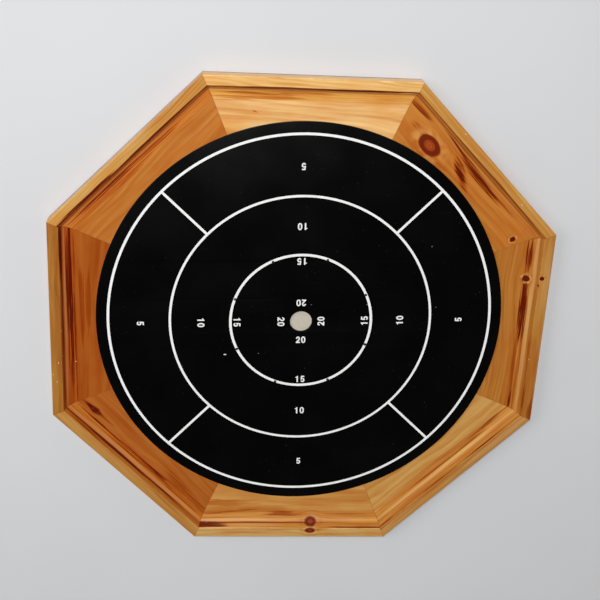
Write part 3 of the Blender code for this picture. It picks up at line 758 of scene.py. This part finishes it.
def flat_mesh(name, outlines, low, high, edge=0.0):
    """Closed outlines filled by the even-odd rule, between two heights, with eased edges."""
    curve = bpy.data.curves.new(name, 'CURVE')
    curve.dimensions = '2D'
    curve.fill_mode = 'BOTH'
    curve.extrude = (high - low) / 2 - edge
    curve.bevel_depth = edge
    curve.bevel_resolution = 2
    curve.offset = -edge
    for outline in outlines:
        spline = curve.splines.new('POLY')
        spline.points.add(len(outline) - 1)
        for point, (x, y) in zip(spline.points, outline):
            point.co = (x, y, 0.0, 1.0)
        spline.use_cyclic_u = True
    obj = new_object(name, curve)
    obj.location.z = (low + high) / 2
    mesh = baked_mesh(obj, name)
    bpy.data.curves.remove(curve)
    return mesh


def arc(centre, radii, first, last, steps):
    """Points on an ellipse's arc between two angles in degrees."""
    points = []
    for step in range(steps + 1):
        angle = math.radians(first + (last - first) * step / steps)
        points.append((centre[0] + radii[0] * math.cos(angle), centre[1] + radii[1] * math.sin(angle)))
    return points


def circle(radius, steps=256, centre=(0.0, 0.0)):
    return arc(centre, (radius, radius), 0.0, 360.0 * (steps - 1) / steps, steps - 1)


def rounded_outline(corners):
    """Points of a closed outline whose corners (x, y, radius) are rounded by arcs."""
    points = []
    for index, (x, y, radius) in enumerate(corners):
        here = Vector((x, y))
        if radius == 0:
            points.append(here)
            continue
        before = (Vector(corners[index - 1][:2]) - here).normalized()
        after = (Vector(corners[(index + 1) % len(corners)][:2]) - here).normalized()
        half = before.angle(after) / 2
        centre = here + (before + after).normalized() * radius / math.sin(half)
        first = here + before * radius / math.tan(half) - centre
        last = here + after * radius / math.tan(half) - centre
        sweep = first.angle_signed(last)
        for step in range(ARC_STEPS + 1):
            points.append(centre + Matrix.Rotation(-sweep * step / ARC_STEPS, 2) @ first)
    return points


def on_root(piece, slot, *nodes):
    """Makes the piece part of the object, standing for the CAD nodes named."""
    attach(piece, "root")
    if nodes:
        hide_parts(*nodes)


# ------------ mouldings

def moulding_section():
    """(distance from the board's middle, height) round the section, starting at the rabbet."""
    rabbet_apothem = BACK_APOTHEM + TOUCH_GAP
    return rounded_outline([
        (rabbet_apothem, 0.0, 0.0),
        (FRAME_APOTHEM, 0.0, BACK_EDGE_RADIUS),
        (FRAME_APOTHEM, RAIL_TOP, RAIL_EDGE_RADIUS),
        (FRAME_APOTHEM - RAIL_WIDTH, RAIL_TOP, RAIL_EDGE_RADIUS),
        (COVE_TOP_APOTHEM, COVE_TOP, WALL_FOOT_RADIUS),
        (COVE_FOOT_APOTHEM, DITCH_TOP, COVE_RADIUS),
        (OPENING_APOTHEM, DITCH_TOP, 0.0),
        (OPENING_APOTHEM, RABBET_TOP, 0.0),
        (rabbet_apothem, RABBET_TOP, 0.0),
    ])


def moulding_cutter(side):
    """Slots for the two biscuits and holes for the two screws of one side, as one object."""
    near_mitres = (side + 1, side if side else SIDES)
    screws = (2 * side + 1, 2 * side + 2)
    names = [f"mitre_biscuit_{number}" for number in near_mitres]
    names += [f"back_screw_{number:02d}" for number in screws]
    bm = bmesh.new()
    for name in names:
        low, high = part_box(name)
        centre = (low + high) / 2
        grow = Vector([(extent + 2 * TOUCH_GAP) / extent for extent in high - low])
        first = len(bm.verts)
        bm.from_mesh(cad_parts[name].data)
        bm.verts.ensure_lookup_table()
        for vertex in bm.verts[first:]:
            vertex.co = centre + (vertex.co - centre) * grow
    bmesh.ops.remove_doubles(bm, verts=bm.verts, dist=WELD)
    return new_object("moulding_cutter", mesh_from(bm, "moulding_cutter"))


def moulding_mesh(side, name):
    """One frame side as a loft of its section, mitred at both ends."""
    section = moulding_section()
    slope = math.tan(SIDE_TURN / 2)
    clearance = MITRE_GAP / 2 / math.cos(SIDE_TURN / 2)
    turn = Matrix.Rotation(side * SIDE_TURN, 3, 'Z')
    bm = bmesh.new()
    rows = []
    for step in range(MOULDING_STEPS + 1):
        share = 2 * step / MOULDING_STEPS - 1
        row = []
        for apothem, height in section:
            along = share * (apothem * slope - clearance)
            row.append(bm.verts.new(turn @ Vector((apothem, along, height))))
        rows.append(row)
    count = len(section)
    for lower, upper in zip(rows, rows[1:]):
        for index in range(count):
            after = (index + 1) % count
            bm.faces.new((lower[index], lower[after], upper[after], upper[index]))
    bm.faces.new(rows[0])
    bm.faces.new(rows[-1])
    bmesh.ops.recalc_face_normals(bm, faces=bm.faces)
    return cut_mesh(mesh_from(bm, name), moulding_cutter(side), name)


def leave_raw(mesh, side):
    """Gives the raw wood to faces that the varnish brush never reached."""
    outward = Matrix.Rotation(side * SIDE_TURN, 3, 'Z') @ Vector((1.0, 0.0, 0.0))
    for face in mesh.polygons:
        height = face.center.z
        apothem = face.center.dot(outward)
        under = height < RABBET_TOP + TOUCH_GAP and face.normal.z < -0.7
        inside = apothem < BACK_APOTHEM + 2 * TOUCH_GAP and height < DITCH_TOP - TOUCH_GAP
        mitre = abs(face.normal.dot(outward)) < 0.5 and abs(face.normal.z) < 0.5
        if under or inside or mitre:
            face.material_index = RAW_SLOT


def build_mouldings():
    for side, name in enumerate(COMPASS):
        turn = side * SIDE_TURN
        varnished = varnished_pine("varnished_pine_" + name, BOARDS[name], turn)
        raw = raw_pine("raw_pine_" + name, turn)
        piece_name = "pine_moulding_" + name
        piece = finished(piece_name, moulding_mesh(side, piece_name), 30, varnished, raw)
        leave_raw(piece.data, side)
        on_root(piece, "varnished_pine", "frame_moulding_" + name)


# ------------ disc, print and panels

def polar(radius, angle):
    return (radius * math.cos(angle), radius * math.sin(angle))


def peg_holes():
    """Outlines of the peg holes, whose circle was drilled a little off the printed one."""
    outlines = []
    for index in range(PEG_COUNT):
        x, y = polar(PEG_CIRCLE_RADIUS, PEG_TURN + (index + 0.5) * SIDE_TURN)
        outlines.append(circle(PEG_HOLE_RADIUS, PEG_HOLE_STEPS, (x, y - PEG_DROP)))
    return outlines


def onto_disc(mesh):
    """Moves a mesh from the disc's own frame to its place on the board."""
    centre = Matrix.Translation((DISC_CENTRE.x, DISC_CENTRE.y, 0.0))
    mesh.transform(centre @ Matrix.Rotation(PRINT_TURN, 4, 'Z'))


def build_disc(material):
    outlines = [circle(DISC_RADIUS, DISC_STEPS), circle(HOLE_RADIUS, HOLE_STEPS), *peg_holes()]
    mesh = flat_mesh("lacquered_disc", outlines, DISC_LOW.z, DISC_HIGH.z, DISC_EDGE)
    onto_disc(mesh)
    disc = finished("lacquered_disc", mesh, 20, material)
    on_root(disc, "black_playing_surface", "playing_disc")


def print_film(name, outlines, material, drilled=()):
    """A film of ink on the disc, less the holes that were drilled through it."""
    low = DISC_HIGH.z + INK_GAP
    mesh = flat_mesh(name, outlines, low, low + INK_THICKNESS)
    if drilled:
        holes = flat_mesh("holes", drilled, DISC_LOW.z, RAIL_TOP)
        mesh = cut_mesh(mesh, new_object("holes", holes), name)
    onto_disc(mesh)
    film = finished(name, mesh, 20, material)
    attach(film, "root")


def edge_radius(ring, way):
    """Radius of a painted ring's outer edge, way 1, or its inner edge, way -1."""
    return ring.radius + way * ring.width / 2


def ring_edge(ring, way):
    return circle(edge_radius(ring, way), ring.steps)


def between_spokes(quarter):
    """The black area between two neighbouring spokes and the 10 and 5 rings."""
    middle = quarter * SPOKE_TURN
    points = []
    for radius, way in ((edge_radius(TEN_RING, 1), 1), (edge_radius(FIVE_RING, -1), -1)):
        reach = SPOKE_TURN / 2 - math.degrees(math.asin(SPOKE_WIDTH / 2 / radius))
        points += arc((0.0, 0.0), (radius, radius), middle - way * reach, middle + way * reach,
                      BETWEEN_SPOKES_STEPS)
    return points


def build_rings(material):
    outer = [ring_edge(FIVE_RING, 1), ring_edge(TEN_RING, -1)]
    outer += [between_spokes(quarter) for quarter in range(4)]
    print_film("print_rings_and_spokes", outer, material)
    inner = [ring_edge(FIFTEEN_RING, 1), ring_edge(FIFTEEN_RING, -1)]
    print_film("print_fifteen_ring", inner, material, peg_holes())


def rounded_loop(half_width, half_height):
    """A closed oval a little squarer than an ellipse, about the middle of a digit."""
    points = []
    for x, y in circle(1.0, ZERO_STEPS):
        aside = math.copysign(abs(x) ** (2 / ZERO_SQUARENESS), x) * half_width
        rise = math.copysign(abs(y) ** (2 / ZERO_SQUARENESS), y) * half_height
        points.append((DIGIT_WIDTH / 2 + aside, 0.5 + rise))
    return points


def digit_outlines(digit):
    """Outlines of one bold digit, one unit tall, standing on the origin."""
    if digit == "0":
        return [rounded_loop(0.315, 0.51), rounded_loop(0.125, 0.33)]
    if digit == "1":
        return [[(0.24, 0.0), (0.44, 0.0), (0.44, 1.0), (0.29, 1.0), (0.25, 0.90), (0.17, 0.845),
                 (0.07, 0.825), (0.07, 0.70), (0.24, 0.70)]]
    if digit == "2":
        return [arc((0.335, 0.68), (0.29, 0.33), 184, -35, 20)
                + [(0.36, 0.185), (0.64, 0.185), (0.64, 0.0), (0.03, 0.0), (0.03, 0.15)]
                + arc((0.335, 0.68), (0.105, 0.15), -35, 184, 12)]
    return [[(0.13, 1.0), (0.60, 1.0), (0.60, 0.81), (0.29, 0.81), (0.26, 0.62)]
            + arc((0.34, 0.325), (0.30, 0.335), 75, -160, 24)
            + arc((0.34, 0.325), (0.11, 0.15), -160, 150, 12)
            + [(0.08, 0.395), (0.07, 0.43)]]


def number_outlines(text, radius, quarter):
    """A number centred at a radius, its top towards the disc's middle."""
    width = DIGIT_ADVANCE * (len(text) - 1) + DIGIT_WIDTH
    turn = Matrix.Rotation(quarter * math.pi / 2, 2)
    placed = []
    for index, digit in enumerate(text):
        for outline in digit_outlines(digit):
            points = []
            for x, y in outline:
                local = Vector((x + index * DIGIT_ADVANCE - width / 2, y - 0.5)) * DIGIT_HEIGHT
                points.append(turn @ (local + Vector((0.0, -radius))))
            placed.append(points)
    return placed


def build_numbers(material):
    quarters = ("south", "east", "north", "west")
    for text, radius in NUMBER_RADII.items():
        for quarter, name in enumerate(quarters):
            print_film(f"print_{text}_{name}", number_outlines(text, radius, quarter), material)


def turned_mesh(name, profile, steps):
    """A profile of (radius, height) points turned about Z and closed."""
    bm = bmesh.new()
    rings = []
    for radius, height in profile:
        if radius == 0:
            rings.append([bm.verts.new((0.0, 0.0, height))])
        else:
            rings.append([bm.verts.new((x, y, height)) for x, y in circle(radius, steps)])
    for first, second in zip(rings, rings[1:]):
        for index in range(steps):
            after = (index + 1) % steps
            corners = [first[index % len(first)], first[after % len(first)],
                       second[after % len(second)], second[index % len(second)]]
            bm.faces.new(list(dict.fromkeys(corners)))
    bmesh.ops.recalc_face_normals(bm, faces=bm.faces)
    return mesh_from(bm, name)


def screw_profile(grow):
    """Half the screw's outline, point up and head at 0, grown on every side for its hole."""
    return [
        (0.0, SCREW_LENGTH + grow),
        (SCREW_SHANK_RADIUS / 2 + grow, SCREW_LENGTH + grow),
        (SCREW_SHANK_RADIUS + grow, SCREW_LENGTH * SCREW_TAPER),
        (SCREW_SHANK_RADIUS + grow, SCREW_HEAD_DEPTH + grow),
        (SCREW_HEAD_RADIUS + grow, SCREW_RIM + grow),
        (SCREW_HEAD_RADIUS + grow, SCREW_EASE_UP),
        (SCREW_HEAD_RADIUS - SCREW_EASE_IN + grow, -2 * grow),
        (0.0, -2 * grow),
    ]


def screw_mesh():
    """One screw, point up, with a cross recess in the face of its head."""
    points = []
    for quarter in range(4):
        turn = Matrix.Rotation(quarter * math.pi / 2, 2)
        corners = ((CROSS_ARM, -CROSS_HALF_WIDTH), (CROSS_ARM, CROSS_HALF_WIDTH),
                   (CROSS_HALF_WIDTH, CROSS_HALF_WIDTH))
        points += [turn @ Vector(corner) for corner in corners]
    cutter = new_object("cross", flat_mesh("cross", [points], -CROSS_DEPTH, CROSS_DEPTH))
    return cut_mesh(turned_mesh("screw", screw_profile(0.0), SCREW_STEPS), cutter, "screw")


def screw_places():
    """Middles of the screws' heads, read off the frame, in the order of their numbers."""
    places = {}
    for name in sorted(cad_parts):
        if name.startswith("back_screw_"):
            low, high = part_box(name)
            places[name] = Vector(((low.x + high.x) / 2, (low.y + high.y) / 2, low.z))
    return places


def build_screws(material):
    shape = screw_mesh()
    for index, (name, place) in enumerate(screw_places().items()):
        mesh = shape.copy()
        mesh.transform(Matrix.Translation(place) @ Matrix.Rotation(SCREW_TURN * index, 4, 'Z'))
        screw = finished(name.replace("back_screw", "panel_screw"), mesh, 25, material)
        on_root(screw, "zinc_screw", name)


def build_back_panel(material):
    """The hardboard back with a countersunk hole for each screw."""
    corner = BACK_APOTHEM / math.cos(SIDE_TURN / 2)
    outline = [polar(corner, (index + 0.5) * SIDE_TURN) for index in range(SIDES)]
    mesh = flat_mesh("hardboard_back", [outline], 0.0, BACK_TOP, BACK_PANEL_EDGE)
    blank = turned_mesh("countersink", screw_profile(TOUCH_GAP), SCREW_STEPS)
    bm = bmesh.new()
    for place in screw_places().values():
        first = len(bm.verts)
        bm.from_mesh(blank)
        bm.verts.ensure_lookup_table()
        bmesh.ops.translate(bm, verts=bm.verts[first:], vec=place)
    holes = new_object("countersinks", mesh_from(bm, "countersinks"))
    panel = finished("hardboard_back", cut_mesh(mesh, holes, "hardboard_back"), 20, material)
    on_root(panel, "brown_hardboard", "back_panel")


def repaint(name, material):
    """A new finish on a CAD node that keeps its shape."""
    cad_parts[name].material_slots[0].material = material


# ------------ room

def build_floor():
    bm = bmesh.new()
    bmesh.ops.create_grid(bm, x_segments=8, y_segments=8, size=FLOOR_SIZE)
    mesh = mesh_from(bm, "studio_floor")
    mesh.materials.append(floor_paint())
    floor = new_object("studio_floor", mesh)
    floor.location.z = -FLOOR_DROP


def build_world():
    """Pale near the horizon and dark overhead, so that the lacquer stays black from above."""
    n = Nodes("studio", bpy.data.worlds)
    bpy.context.scene.world = n.owner
    rise = n.separated(n.add("TexCoord").outputs["Generated"])["Z"]
    strength = n.ramp(rise, 0.25, 0.70, 0.45, 0.01)
    n.fed(n.tree.nodes["Background"], Color=(0.97, 0.98, 1.0), Strength=strength)


def add_light(name, kind, power, place, target):
    """A lamp that shines from its place towards the target.  Returns its light."""
    light = bpy.data.lights.new(name, kind)
    light.energy = power
    lamp = new_object(name, light)
    lamp.location = place
    lamp.rotation_euler = (Vector(target) - Vector(place)).to_track_quat('-Z', 'Y').to_euler()
    return light


def build_lights():
    """Even light over the whole floor, a small key from the same side and a wide fill."""
    sky = add_light("sky", 'SUN', 1.0, KEY_PLACE, KEY_TARGET)
    sky.angle = math.radians(5.0)
    key = add_light("key", 'AREA', 28.0, KEY_PLACE, KEY_TARGET)
    fill = add_light("fill", 'AREA', 16.0, FILL_PLACE, FILL_TARGET)
    for light, size in ((key, 0.3), (fill, 1.4)):
        light.shape = 'DISK'
        light.size = size


def build_camera():
    """The photograph's view, from above the board's upper edge, leaning a little."""
    forward = (Vector(CAMERA_TARGET) - Vector(CAMERA_PLACE)).normalized()
    upright = Vector((0.0, 1.0, 0.0))
    upright = (upright - forward * upright.dot(forward)).normalized()
    across = forward.cross(upright)
    up = upright * math.cos(CAMERA_ROLL) + across * math.sin(CAMERA_ROLL)
    right = forward.cross(up)
    camera = new_object("camera", bpy.data.cameras.new("camera"))
    camera.data.lens = CAMERA_LENS
    camera.data.sensor_width = CAMERA_SENSOR
    camera.matrix_world = Matrix((right, up, -forward)).transposed().to_4x4()
    camera.location = CAMERA_PLACE
    bpy.context.scene.camera = camera
    bpy.context.scene.view_settings.view_transform = 'Standard'


# ------------ everything

def main():
    build_camera()
    build_world()
    build_lights()
    build_floor()
    build_mouldings()
    build_disc(black_lacquer())
    ink = white_ink()
    build_rings(ink)
    build_numbers(ink)
    build_back_panel(brown_hardboard())
    build_screws(zinc())
    repaint("bed_panel", pale_board())
    biscuit_wood = beech()
    for number in range(1, SIDES + 1):
        repaint(f"mitre_biscuit_{number}", biscuit_wood)


main()
